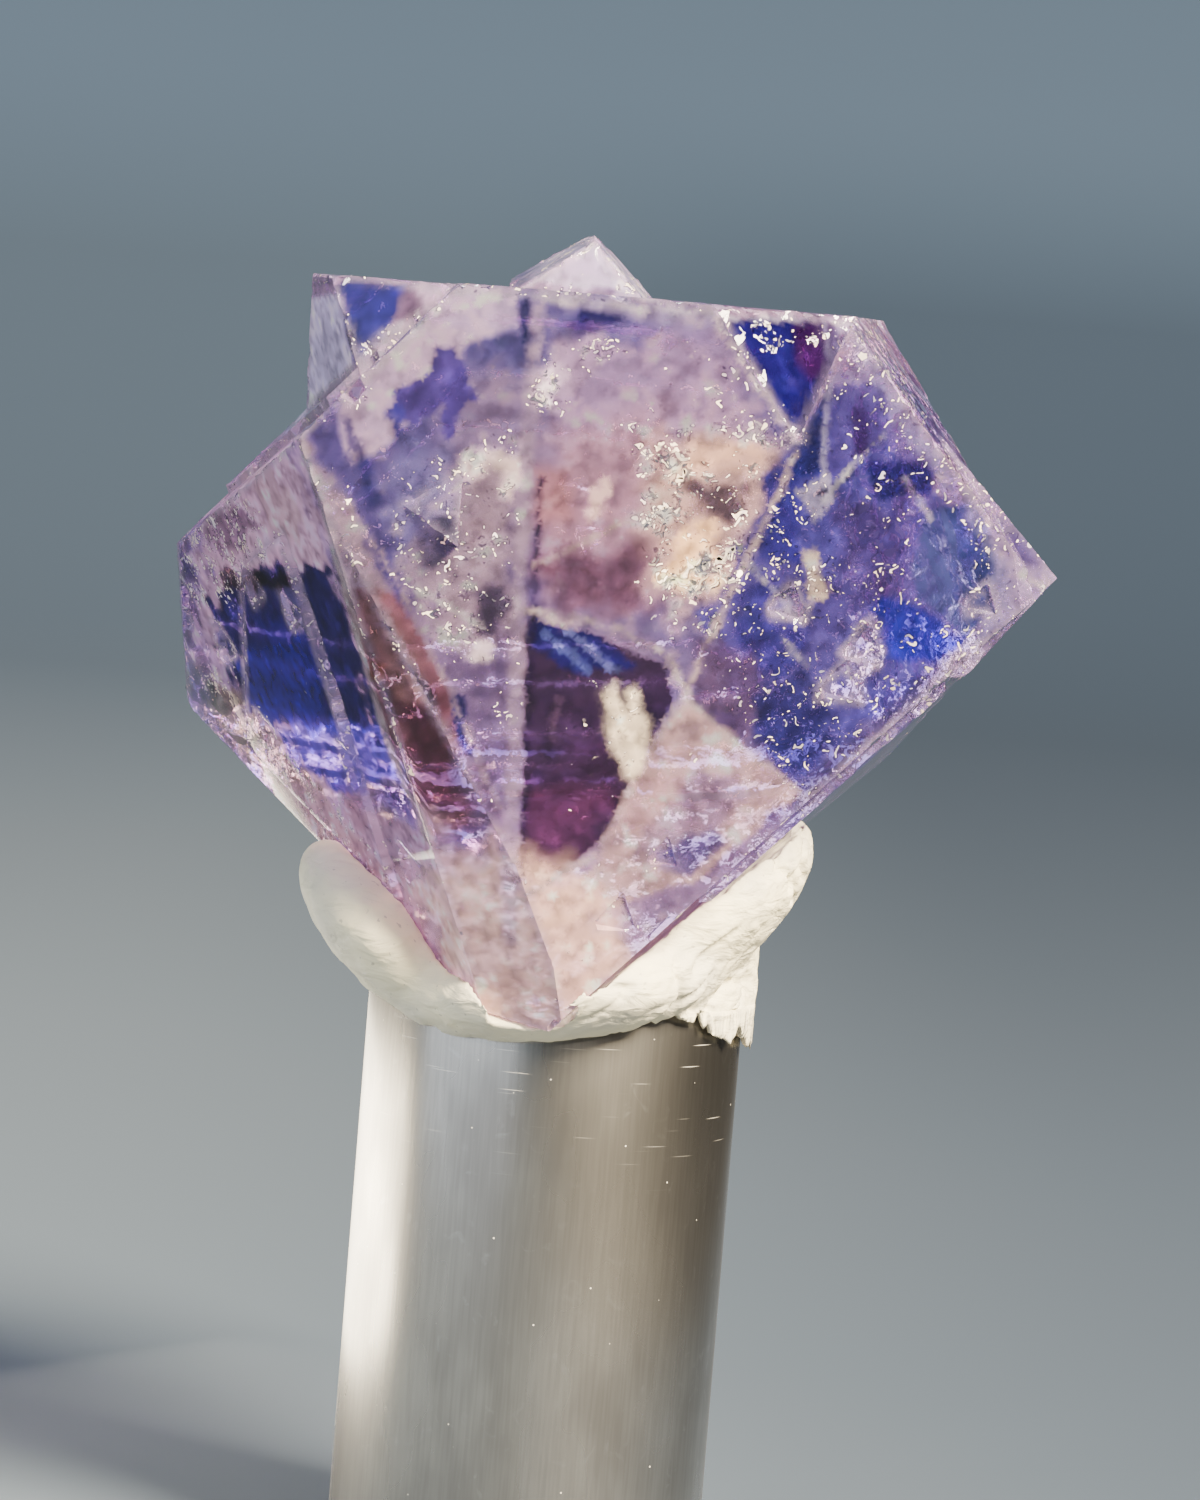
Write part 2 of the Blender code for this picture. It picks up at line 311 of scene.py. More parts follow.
def makeLights():
    for count, (turn, height) in enumerate(zip(glintPlan["turns"], glintPlan["heights"])):
        turn = math.radians(turn)
        out = glintPlan["distance"]
        lights[f"glintLight{count}"] = {
            "at": (out * math.sin(turn), -out * math.cos(turn), height),
            "size": (glintPlan["size"], glintPlan["size"]),
            "power": glintPlan["power"],
            "colour": glintPlan["colour"],
        }
    for name, plan in lights.items():
        data = bpy.data.lights.new(name, "AREA")
        data.shape = "RECTANGLE"
        data.size, data.size_y = plan["size"][0] * mm, plan["size"][1] * mm
        data.energy = plan["power"]
        data.color = plan["colour"]
        data.spread = plan.get("spread", math.pi)
        light = bpy.data.objects.new(name, data)
        light.location = Vector(plan["at"]) * mm
        aim = Vector((0, 0, plan.get("aimHeight", 22) * mm)) - light.location
        light.rotation_euler = aim.to_track_quat("-Z", "Y").to_euler()
        light.visible_camera = False
        light.visible_diffuse = not plan.get("glossOnly", False)
        bpy.context.scene.collection.objects.link(light)
    world = bpy.data.worlds.new("studioAir")
    world.use_nodes = True
    sky = world.node_tree.nodes["Background"]
    sky.inputs["Color"].default_value = stagePlan["sky"]
    sky.inputs["Strength"].default_value = stagePlan["skyStrength"]
    bpy.context.scene.world = world


# crystal

crystalPlan = {
    "latticeTurn": Euler([math.radians(angle) for angle in (160.41, -7.91, -31.25)]),
    "gridDepth": 8,
    "gridFill": 0.66,
    "ior": 1.434,
    "lightBehind": 0.55,  # how bright the surroundings look through the crystal, for the zones' colours
    "absorption": toLinear(214, 194, 224),
    "absorptionDensity": 25.0,
    "richness": 1.12,
    "milkiness": 0.36,
    "fleckTilt": 1.2,
    "crushTilt": 0.4,
    "needleTilt": 0.8,
    "stepTilt": 0.14,
    "flankLean": (0.0, -0.70, 0.10),  # the left flank's growth steps face this way
}

growthRelief = {  # size of the hillocks and their height in millimetres, and the painted group they follow
    "sharpHillocks": (0.95, 0.035, "roughFaces"),
    "chippedEdges": (0.55, 0.16, "wornEdges"),
}

patchTones = [(182, 164, 190), (74, 62, 146), (172, 144, 164), (204, 188, 196),
              (98, 96, 170), (156, 146, 184), (128, 100, 128), (190, 174, 198)]

# Colour zones of the front, lowest layer first: frame places of the corners, the colour seen there,
# how soft the edge is and how ragged, both in millimetres, the share of the colour and how milky it is
colourZones = {
    "flankMauve": ([(190, 500), (300, 430), (350, 600), (400, 780), (300, 800), (200, 640)],
                   (214, 190, 204), 0.5, 0.5, 0.9, 1.8),
    "flankPale": ([(235, 470), (262, 462), (300, 520), (285, 545)], (196, 176, 184), 0.1, 0.4, 0.7, 1.4),
    "flankShade": ([(200, 530), (240, 500), (262, 520), (222, 560)], (150, 130, 150), 0.15, 0.4, 0.75, 1.0),
    "flankDeep": ([(212, 590), (262, 566), (335, 570), (362, 660), (378, 728), (310, 735), (240, 715),
                   (222, 650)],
                  (50, 30, 126), 0.12, 0.35, 0.98, 1.0),
    "flankCore": ([(250, 620), (300, 610), (330, 680), (270, 690)], (78, 60, 150), 0.4, 0.3, 0.7, 0.9),
    "flankLow": ([(236, 650), (300, 640), (334, 735), (250, 722)], (54, 36, 130), 0.3, 0.4, 0.9, 2.0),
    "flankBar": ([(218, 570), (300, 576), (300, 592), (222, 586)], (30, 22, 64), 0.05, 0.25, 0.9, 0.0),
    "flankFacet": ([(272, 590), (300, 585), (310, 612), (290, 622)], (150, 144, 190), 0.05, 0.1, 0.7, 0.2),
    "flankBlue": ([(275, 730), (380, 722), (400, 775), (350, 795), (300, 770)],
                   (104, 98, 200), 0.15, 0.3, 0.9, 0.8),
    "goldenStrip": ([(200, 668), (232, 690), (400, 885), (345, 880), (215, 720)],
                   (196, 180, 168), 0.08, 0.25, 0.85, 0.5),
    # painted shade: the dark of a small pit in the golden strip
    "stripPitPaintedShade": ([(205, 678), (220, 692), (214, 708)], (60, 50, 70), 0.04, 0.1, 0.85, 0.0),
    "bandBeige": ([(300, 440), (330, 470), (362, 520), (388, 600), (352, 600), (322, 500)],
                  (186, 170, 176), 0.15, 0.2, 0.85, 0.45),
    "roseBand": ([(345, 590), (392, 590), (425, 640), (505, 820), (430, 838), (380, 720)],
                 (156, 124, 130), 0.12, 0.15, 0.94, 0.6),
    "roseGlow": ([(362, 605), (392, 620), (430, 700), (404, 704)], (176, 150, 146), 0.3, 0.2, 0.7, 0.25),
    "roseShade": ([(396, 704), (440, 690), (470, 790), (430, 822)], (122, 80, 96), 0.3, 0.3, 0.8, 0.5),
    "amberSpot": ([(370, 660), (384, 664), (383, 682), (371, 678)], (224, 160, 76), 0.06, 0.05, 0.85, 0.3),
    "creamPlate": ([(345, 330), (425, 318), (474, 335), (440, 400), (392, 440), (350, 470), (335, 420)],
                   (210, 192, 212), 0.1, 0.15, 0.9, 0.7),
    "jaggedBlue": ([(435, 342), (457, 345), (470, 375), (477, 398), (460, 422), (446, 438), (434, 432),
                    (441, 405), (415, 427), (394, 414), (394, 390), (416, 382), (430, 364)],
                   (112, 92, 156), 0.03, 0.3, 0.96, 0.5),
    "jaggedChip": ([(386, 410), (400, 402), (405, 430), (393, 442)], (112, 100, 176), 0.04, 0.15, 0.9, 0.4),
    "blueWisp": ([(338, 420), (352, 424), (368, 470), (352, 464)], (80, 72, 160), 0.06, 0.25, 0.6, 0.0),
    "blueStreak": ([(352, 462), (366, 456), (382, 508), (370, 512)], (96, 98, 190), 0.08, 0.2, 0.6, 0.0),
    "greyBlue": ([(385, 455), (450, 450), (470, 520), (440, 575), (395, 560), (380, 510)],
                 (164, 156, 196), 0.3, 0.5, 0.85, 0.4),
    "mistyMiddle": ([(400, 570), (470, 470), (515, 460), (515, 640), (450, 640)],
                   (210, 192, 202), 0.4, 0.6, 0.75, 0.5),
    "hollowA": ([(425, 520), (455, 510), (462, 545), (436, 560)], (90, 82, 122), 0.15, 0.3, 0.75, 0.0),
    "hollowB": ([(470, 590), (505, 585), (500, 640), (478, 640)], (104, 92, 128), 0.2, 0.3, 0.7, 0.0),
    "crestShade": ([(446, 640), (514, 660), (505, 850), (470, 830)], (150, 134, 162), 0.3, 0.5, 0.85, 0.4),
    "blueSliver": ([(448, 692), (462, 698), (474, 757), (458, 752)], (70, 76, 160), 0.05, 0.12, 0.88, 0.0),
    "topMauve": ([(412, 275), (520, 285), (520, 330), (474, 340), (425, 318)],
                   (232, 214, 236), 0.15, 0.2, 0.8, 0.9),
    "crestStripe": ([(521, 300), (533, 302), (533, 358), (523, 360)], (66, 46, 142), 0.05, 0.06, 0.94, 0.0),
    "glintBed": ([(530, 402), (545, 350), (602, 333), (622, 350), (577, 392), (552, 418)],
                 (228, 210, 224), 0.15, 0.4, 0.8, 1.1),
    "topGlint": ([(538, 396), (548, 370), (570, 358), (564, 382), (550, 406)],
                   (255, 246, 250), 0.08, 0.25, 0.95, 2.4),
    "crestGlint": ([(478, 440), (520, 448), (524, 480), (500, 492), (482, 470)],
                   (242, 228, 224), 0.2, 0.6, 0.75, 1.6),
    "lowGlint": ([(466, 636), (490, 640), (486, 668), (470, 664)], (240, 228, 230), 0.1, 0.4, 0.75, 1.6),
    "peakFrost": ([(521, 283), (575, 233), (592, 233), (658, 298)], (188, 182, 200), 0.1, 0.2, 0.85, 1.3),
    "topBlue": ([(580, 308), (636, 311), (600, 332), (558, 349)], (74, 46, 150), 0.05, 0.15, 0.96, 0.0),
    "topLight": ([(540, 290), (716, 312), (705, 330), (545, 304)], (204, 192, 220), 0.08, 0.1, 0.75, 0.45),
    "upperRose": ([(545, 340), (700, 330), (740, 380), (770, 420), (700, 440), (560, 420)],
                  (206, 184, 212), 0.4, 0.5, 0.85, 0.45),
    "pinkMauve": ([(547, 430), (650, 410), (700, 480), (660, 610), (538, 610)],
                   (206, 178, 194), 0.5, 0.5, 0.9, 0.45),
    "pinkGlow": ([(533, 470), (565, 470), (572, 520), (533, 525)], (236, 196, 204), 0.25, 0.2, 0.85, 0.45),
    "roseLow": ([(540, 560), (650, 540), (640, 606), (560, 612)], (160, 124, 142), 0.4, 0.4, 0.85, 0.1),
    # painted reflection: the golden gleam of inner veils, as a warm pale milky patch
    "goldPaintedReflection": ([(650, 440), (700, 430), (790, 430), (780, 520), (740, 610), (670, 620), (640, 540)],
                 (230, 206, 200), 0.6, 0.6, 0.85, 0.8),
    "goldShade": ([(690, 480), (742, 490), (738, 525), (700, 520)], (104, 84, 106), 0.2, 0.4, 0.7, 0.0),
    # painted highlight: a bright cream cluster of glints
    "goldPaintedGlint": ([(672, 535), (700, 528), (718, 560), (700, 585), (675, 575)],
                   (255, 228, 196), 0.2, 0.8, 0.8, 2.2),
    # painted highlight: an arc of bright cream glints
    "goldPaintedGlintArc": ([(664, 455), (760, 442), (758, 468), (680, 474)], (250, 222, 206), 0.25, 0.5, 0.75, 1.6),
    "middleGlint": ([(582, 492), (606, 486), (612, 514), (592, 524)],
                   (246, 228, 224), 0.12, 0.5, 0.75, 1.6),
    "maroonDark": ([(524, 618), (600, 636), (668, 668), (674, 700), (606, 838), (517, 905)],
                   (76, 50, 84), 0.06, 0.12, 0.98, 0.9),
    "maroonBlue": ([(528, 616), (600, 640), (640, 672), (575, 672), (530, 652)],
                   (62, 50, 116), 0.06, 0.3, 0.95, 0.9),
    "maroonRose": ([(530, 790), (610, 790), (588, 845), (524, 890)], (112, 78, 106), 0.3, 0.3, 0.85, 0.7),
    "lowViolet": ([(507, 868), (548, 878), (542, 915), (508, 930)], (142, 130, 172), 0.12, 0.2, 0.8, 0.6),
    # painted highlight: the white gleam of an inner veil
    "whitePaintedHighlight": ([(600, 696), (616, 686), (622, 704), (630, 718), (627, 692), (636, 686), (642, 706),
                    (647, 734), (646, 768), (636, 788), (622, 766), (609, 738)],
                   (255, 244, 230), 0.15, 0.2, 0.9, 1.9),
    "windowDeep": ([(717, 317), (811, 317), (832, 376), (822, 420), (794, 438)],
                   (54, 28, 142), 0.04, 0.04, 0.98, 0.2),
    "windowRose": ([(788, 322), (838, 326), (832, 372), (806, 382)], (112, 62, 124), 0.12, 0.2, 0.88, 0.0),
    "cornerDeep": ([(335, 282), (405, 284), (396, 315), (380, 345), (352, 362), (342, 320)],
                   (52, 20, 150), 0.05, 0.08, 0.97, 0.5),
    "cornerGrey": ([(305, 300), (337, 292), (352, 362), (294, 428)], (236, 228, 250), 0.06, 0.06, 0.9, 2.3),
    "blueFace": ([(700, 620), (780, 470), (860, 400), (1000, 560), (960, 660), (800, 790)],
                 (106, 100, 158), 0.25, 0.6, 0.92, 0.5),
    "faceRose": ([(690, 640), (762, 655), (745, 750), (690, 716)], (140, 118, 148), 0.25, 0.4, 0.8, 0.15),
    "blueColumn": ([(790, 420), (822, 418), (822, 470), (795, 480)], (76, 80, 158), 0.05, 0.08, 0.92, 0.0),
    "faceDeepA": ([(765, 480), (800, 470), (798, 560), (760, 560)], (88, 80, 146), 0.1, 0.3, 0.92, 0.5),
    "faceDeepB": ([(740, 590), (800, 580), (820, 650), (770, 680), (735, 640)],
                   (94, 86, 146), 0.15, 0.4, 0.88, 0.5),
    "hashDark": ([(730, 690), (810, 670), (830, 740), (790, 785)], (80, 76, 128), 0.2, 0.5, 0.85, 0.4),
    "hollowBlue": ([(866, 462), (925, 462), (930, 492), (880, 502)], (56, 50, 132), 0.06, 0.15, 0.94, 0.0),
    "lavender": ([(835, 510), (905, 505), (905, 600), (850, 610)], (104, 92, 138), 0.2, 0.3, 0.88, 0.5),
    "ovalSmooth": ([(926, 510), (984, 501), (998, 568), (989, 616), (965, 635), (917, 597), (912, 568)],
                   (98, 104, 144), 0.06, 0.06, 0.96, 0.5),
    "brightBlue": ([(874, 605), (905, 600), (962, 636), (955, 662), (885, 660)],
                   (62, 64, 156), 0.1, 0.25, 0.94, 0.5),
    "shieldFacet": ([(826, 385), (883, 381), (893, 424), (850, 472), (826, 490)],
                   (108, 98, 148), 0.05, 0.05, 0.92, 0.7),
    "shieldDark": ([(852, 407), (869, 409), (866, 458), (853, 456)], (78, 56, 106), 0.05, 0.06, 0.9, 0.5),
    "paleWedge": ([(797, 492), (830, 470), (838, 500), (815, 520)], (190, 184, 204), 0.05, 0.1, 0.8, 0.4),
    "creamNeedle": ([(802, 549), (818, 552), (826, 597), (808, 600)],
                   (236, 222, 212), 0.04, 0.15, 0.9, 0.65),
    "tipWedge": ([(998, 553), (1060, 575), (998, 645)], (200, 186, 214), 0.08, 0.08, 0.9, 0.45),
    "greyStrip": ([(1045, 598), (1000, 645), (800, 815), (775, 800), (990, 625)],
                   (110, 102, 136), 0.08, 0.08, 0.92, 0.5),
    "beigeFoot": ([(684, 694), (800, 790), (700, 880), (520, 940), (602, 850)],
                   (220, 198, 198), 0.06, 0.15, 0.92, 0.6),
    "footShade": ([(700, 760), (760, 790), (700, 850), (640, 860)], (156, 144, 172), 0.3, 0.4, 0.6, 0.2),
    "footBlue": ([(660, 850), (715, 825), (727, 845), (675, 877)], (116, 112, 168), 0.15, 0.3, 0.75, 0.0),
    "lowBeige": ([(300, 790), (430, 820), (505, 900), (520, 1050), (440, 1000), (340, 880)],
                 (204, 182, 190), 0.4, 0.4, 0.85, 1.2),
    # painted reflection: the cream putty seen through the tip, painted on its front
    "footPaintedPuttyReflection": ([(425, 880), (500, 840), (620, 900), (640, 960), (530, 1060), (460, 1020)],
                  (232, 208, 198), 0.5, 0.5, 0.9, 1.5),
}

# Edges and scratches of the front: frame places along the line, its colour, half its width and how
# ragged it is, both in millimetres, the share of the colour and how milky it is
colourLines = {
    "crest": ([(540, 300), (533, 360), (526, 470), (517, 640), (511, 800), (509, 940)],
                   (222, 204, 220), 0.26, 0.1, 0.75, 0.5),
    "crestDark": ([(541, 480), (534, 600), (528, 700), (522, 880)], (84, 58, 92), 0.07, 0.06, 0.7, 0.0),
    "flankEdge": ([(299, 438), (320, 498), (347, 594), (380, 720), (398, 768), (428, 840)],
                   (232, 220, 220), 0.1, 0.05, 0.9, 0.7),
    "bandEdge": ([(344, 498), (385, 560), (422, 630), (462, 720), (500, 810)],
                   (208, 192, 200), 0.08, 0.1, 0.8, 0.5),
    "cornerStepA": ([(294, 428), (423, 318)], (232, 226, 236), 0.06, 0.03, 0.9, 0.7),
    "cornerStepB": ([(301, 436), (430, 326)], (222, 212, 222), 0.05, 0.03, 0.8, 0.6),
    "cornerStepC": ([(288, 420), (417, 311)], (226, 220, 232), 0.05, 0.03, 0.8, 0.6),
    "cornerOutline": ([(298, 302), (306, 286), (334, 279)], (62, 52, 140), 0.1, 0.05, 0.9, 0.0),
    "windowEdge": ([(717, 317), (752, 375), (794, 439)], (222, 208, 212), 0.1, 0.06, 0.9, 0.65),
    "windowSide": ([(826, 326), (833, 376), (822, 440), (826, 496)],
                   (206, 200, 226), 0.08, 0.06, 0.85, 0.5),
    "footLine": ([(800, 450), (740, 575), (684, 690), (600, 850), (515, 903)],
                   (232, 216, 214), 0.09, 0.12, 0.8, 0.6),
    "footTop": ([(684, 694), (740, 745), (800, 792)], (220, 208, 212), 0.08, 0.1, 0.8, 0.5),
    "slantStreak": ([(535, 566), (600, 535), (675, 492)], (236, 220, 218), 0.07, 0.08, 0.85, 0.6),
    "spikeA": ([(418, 588), (484, 628)], (238, 230, 236), 0.1, 0.08, 0.85, 0.6),
    "spikeB": ([(416, 600), (462, 652)], (226, 216, 222), 0.07, 0.08, 0.75, 0.5),
    "wedgeBrow": ([(524, 614), (575, 618), (620, 634), (668, 660), (684, 692)],
                   (230, 216, 214), 0.14, 0.3, 0.85, 0.6),
    "wedgeRayA": ([(545, 634), (590, 670)], (134, 140, 188), 0.1, 0.15, 0.8, 0.1),
    "wedgeRayB": ([(568, 632), (618, 672)], (150, 152, 196), 0.08, 0.15, 0.8, 0.1),
    "wedgeRayC": ([(560, 700), (556, 742)], (150, 128, 150), 0.1, 0.2, 0.6, 0.1),
    "innerRim": ([(851, 324), (896, 404), (934, 464), (982, 522), (998, 553), (998, 608), (969, 646)],
                 (180, 174, 204), 0.3, 0.25, 0.7, 0.5),
    "topEdge": ([(405, 288), (520, 296), (716, 315), (850, 323)], (224, 216, 230), 0.1, 0.15, 0.85, 0.65),
    "scratchA": ([(862, 470), (812, 498)], (60, 56, 90), 0.05, 0.03, 0.9, 0.0),
    "scratchB": ([(884, 434), (850, 470), (826, 500)], (234, 230, 240), 0.05, 0.04, 0.85, 0.5),
    "scratchC": ([(750, 565), (800, 616)], (206, 200, 222), 0.06, 0.05, 0.8, 0.4),
    "scratchD": ([(782, 640), (806, 664)], (226, 220, 230), 0.06, 0.05, 0.8, 0.5),
    "scratchE": ([(905, 480), (932, 520)], (220, 216, 232), 0.06, 0.05, 0.8, 0.5),
}

# Sparkling places of the front, where painted glint flecks go: corners, how soft the edge is in
# millimetres, and how many flecks they have
sparkles = {
    "topGlints": ([(528, 405), (545, 348), (600, 332), (622, 350), (578, 392), (555, 418)], 0.15, 0.85),
    "wedgeFlake": ([(590, 680), (640, 680), (656, 790), (620, 800)], 0.15, 0.14),
    "goldGlitter": ([(640, 430), (790, 425), (792, 500), (745, 615), (670, 625), (640, 560)], 0.8, 0.62),
    "middleLeft": ([(400, 470), (515, 430), (515, 660), (440, 640), (385, 540)], 0.5, 0.32),
    "upperRight": ([(640, 345), (720, 345), (790, 430), (650, 430)], 0.4, 0.08),
    "leftCorner": ([(180, 500), (240, 465), (265, 560), (228, 605), (185, 600)], 0.3, 0.9),
    "lowerLeft": ([(190, 660), (235, 680), (400, 885), (340, 880)], 0.2, 0.4),
    "windowTop": ([(745, 318), (850, 322), (848, 345), (760, 352)], 0.1, 0.5),
    "wedge": ([(524, 618), (684, 650), (660, 720), (600, 850), (530, 880)], 0.3, 0.03),
    "band": ([(300, 430), (345, 460), (388, 600), (345, 600)], 0.2, 0.16),
    "crestLow": ([(430, 640), (515, 660), (505, 850)], 0.4, 0.14),
    "rightFace": ([(700, 640), (780, 470), (880, 400), (1000, 560), (960, 660), (800, 790)], 0.4, 0.045),
    "peak": ([(521, 283), (575, 233), (592, 233), (658, 298)], 0.1, 0.5),
    "hash": ([(720, 660), (820, 660), (830, 760), (780, 790)], 0.4, 0.22),
    "foot": ([(520, 940), (680, 700), (800, 790), (560, 1050)], 0.4, 0.03),
}


roughPlace = [(690, 640), (800, 430), (880, 330), (1020, 560), (960, 680), (790, 810)]
flankPlace = [(185, 500), (300, 430), (352, 600), (432, 850), (340, 880), (190, 640)]


def inFrame(x, y):  # a place in the frame, to millimetres right and up of the aim
    width, height = cameraPlan["frameSize"]
    size = cameraPlan["viewHeight"] / height
    return (x - width / 2) * size, (height / 2 - y) * size


def framePlaces(spots):  # points in millimetres, to where the front view shows them
    axes = np.array(viewAxes())
    turned = (spots - np.array(cameraPlan["aimAt"])) @ axes.T
    return turned[:, :2] * (cameraPlan["distance"] / (cameraPlan["distance"] - turned[:, 2:]))


def eased(value, low, high):
    share = np.clip((value - low) / (high - low), 0, 1)
    return share * share * (3 - 2 * share)


def awayFromLine(places, corners):  # millimetres from a line through frame places
    flat = np.array([inFrame(*corner) for corner in corners])
    away = np.full(len(places), 1e9)
    for here, there in zip(flat, flat[1:]):
        along = there - here
        share = np.clip((places - here) @ along / (along @ along), 0, 1)
        away = np.minimum(away, np.linalg.norm(places - here - share[:, None] * along, axis=1))
    return away


def insideOutline(places, corners, soft):  # 1 inside an outline of frame places, fading over its edge
    away = awayFromLine(places, corners + corners[:1])
    inside = np.zeros(len(places), bool)
    flat = [inFrame(*corner) for corner in corners]
    for here, there in zip(flat, flat[1:] + flat[:1]):
        rise = there[1] - here[1] or 1e-9
        crossing = here[0] + (places[:, 1] - here[1]) * (there[0] - here[0]) / rise
        inside ^= ((places[:, 1] < here[1]) != (places[:, 1] < there[1])) & (places[:, 0] < crossing)
    return eased(np.where(inside, away, -away), -soft, soft)


def wander(spots, size, octaves, seed):  # smooth random vectors, about -1 to 1, at points in millimetres
    offset = Vector((seed * 13.1, seed * 7.7, seed * 3.3))
    return np.array([randomNoise.turbulence_vector(Vector(spot) / size + offset, octaves, False)
                     for spot in spots])


def paintAttribute(mesh, name, kind, values):
    attribute = mesh.attributes.new(name, kind, "POINT")
    field = "color" if kind == "FLOAT_COLOR" else "value"
    attribute.data.foreach_set(field, np.ravel(values).astype(np.float32))


def vertexTable(mesh, field):
    table = np.empty(len(mesh.vertices) * 3, np.float32)
    mesh.vertices.foreach_get(field, table)
    return table.reshape(-1, 3).astype(float)


def paintGroup(crystal, name, weights):
    group = crystal.vertex_groups.new(name=name)
    for level in range(1, 11):
        chosen = np.nonzero(np.round(weights * 10) == level)[0]
        group.add(chosen.tolist(), level / 10, "REPLACE")


def nearSharpEdges(crystal, reach):  # 1 at the crystal's own edges, 0 at reach millimetres from them
    makeActive(crystal)
    bpy.ops.object.mode_set(mode="EDIT")
    bpy.ops.mesh.select_mode(type="EDGE")
    bpy.ops.mesh.select_all(action="DESELECT")
    bpy.ops.mesh.edges_select_sharp(sharpness=math.radians(14))
    bpy.ops.object.mode_set(mode="OBJECT")
    spots = vertexTable(crystal.data, "co") / mm
    chosen = np.array([vertex.select for vertex in crystal.data.vertices])
    tree = KDTree(int(chosen.sum()))
    for count, spot in enumerate(spots[chosen]):
        tree.insert(spot, count)
    tree.balance()
    away = np.array([tree.find(spot)[2] for spot in spots])
    return 1 - eased(away, 0.0, reach)


def latticePatches(spots, count, seed):  # angular patches along the lattice: each point's patch number
    turned = spots @ np.array(crystalPlan["latticeTurn"].to_matrix())
    places = np.random.default_rng(seed).uniform(turned.min(axis=0), turned.max(axis=0), (count, 3))
    away = np.abs(turned[:, None, :] - places[None]).sum(axis=2)
    return away.argmin(axis=1)


def paintCrystal(crystal):
    mesh = crystal.data
    spots = vertexTable(mesh, "co") / mm
    normals = vertexTable(mesh, "normal")
    toFront = eased(normals @ np.array(viewAxes()[2]), -0.15, 0.15)
    places = framePlaces(spots)
    broad = wander(spots, 4.5, 2, 1)
    ragged = wander(spots, 0.8, 3, 2)
    grain = wander(spots, 0.35, 2, 3)
    broken = 0.55 + 0.45 * eased(ragged[:, 2] + grain[:, 2] * 0.5, -0.3, 0.2)
    def tone(*colour):  # the tint of one surface that makes the light behind look this colour
        seen = np.array(toLinear(*colour)[:3]) / crystalPlan["lightBehind"]
        seen = seen.mean() + (seen - seen.mean()) * crystalPlan["richness"]
        return np.clip(seen / max(1, seen.max()), 0.001, 1) ** 2
    def lay(share, colour, milkiness):
        nonlocal base, milk
        base = base + (tone(*colour) - base) * share[:, None]
        milk = milk + (milkiness * crystalPlan["milkiness"] - milk) * share
    base = np.tile(tone(182, 164, 192), (len(spots), 1))
    milk = np.full(len(spots), 0.1)
    lay(eased(broad[:, 0], 0.0, 0.5) * 0.8, (172, 142, 164), 0.2)
    lay(eased(broad[:, 1], 0.0, 0.5) * 0.8, (146, 136, 194), 0.1)
    patches = latticePatches(spots + ragged * 0.25, 70, 5)
    for number, colour in enumerate(patchTones):
        lay((patches % len(patchTones) == number) * 0.75 * (1 - toFront), colour, 0.05)
    for corners, colour, soft, raggedness, share, milkiness in colourZones.values():
        moved = places + ragged[:, :2] * raggedness
        lay(insideOutline(moved, corners, soft) * share * toFront, colour, milkiness)
    for corners, colour, width, raggedness, share, milkiness in colourLines.values():
        moved = places + ragged[:, :2] * raggedness
        away = awayFromLine(moved, corners)
        lay((1 - eased(away, width * 0.3, width + 0.04)) * share * broken * toFront, colour, milkiness)
    base *= (0.55 + 0.45 * eased(grain[:, 0], -0.5, 0.1))[:, None]
    base = np.minimum(base * (0.72 + 0.5 * eased(ragged[:, 1], -0.5, 0.5))[:, None], 1)
    base = np.minimum(base * (1 + 0.7 * eased(grain[:, 1] + ragged[:, 0] * 0.5, 0.25, 0.6))[:, None], 1)
    aboveSeat = eased(spots[:, 2], 20.0, 24.0)
    edges = nearSharpEdges(crystal, 0.25) * (0.3 + 0.7 * aboveSeat)
    lay(edges * broken * 0.6, (226, 214, 228), 0.5)
    paintAttribute(mesh, "zoneColour", "FLOAT_COLOR", np.c_[base, np.ones(len(base))])
    paintAttribute(mesh, "milk", "FLOAT", milk)
    # glitter: how many painted glint flecks there are, and how much the normal is crushed
    glitter = np.full(len(spots), 0.006)
    for corners, soft, amount in sparkles.values():
        glitter = np.maximum(glitter, insideOutline(places, corners, soft) * amount * toFront)
    glitter *= 0.1 + 1.8 * eased(ragged[:, 1] + grain[:, 1] * 0.6, -0.2, 0.5)
    calm = insideOutline(places, colourZones["ovalSmooth"][0], 0.2)
    glitter *= 1 - 0.85 * calm * toFront
    rim = 1 - eased(awayFromLine(places, colourLines["innerRim"][0]), 0.2, 0.7)
    glitter = np.maximum(glitter, np.maximum(rim * toFront * 0.34, edges * 0.24))
    glitter = np.maximum(glitter, (1 - toFront) * aboveSeat * eased(broad[:, 2], 0.0, 0.5) * 0.3)
    paintAttribute(mesh, "glitter", "FLOAT", glitter)
    rough = insideOutline(places, roughPlace, 0.6) * (1 - calm) * toFront
    rough = np.maximum(rough, (1 - toFront) * aboveSeat * eased(broad[:, 0], -0.2, 0.3) * 0.4)
    needles = rough
    for name, amount in (("middleLeft", 0.6), ("goldGlitter", 0.4)):
        needles = np.maximum(needles, insideOutline(places, sparkles[name][0], 0.5) * amount * toFront)
    paintAttribute(mesh, "needles", "FLOAT", needles)
    paintAttribute(mesh, "lean", "FLOAT", insideOutline(places, flankPlace, 0.3) * toFront)
    paintGroup(crystal, "roughFaces", rough * (1 - edges))
    paintGroup(crystal, "wornEdges", edges * aboveSeat * eased(broad[:, 0] + ragged[:, 0], -0.4, 0.3))


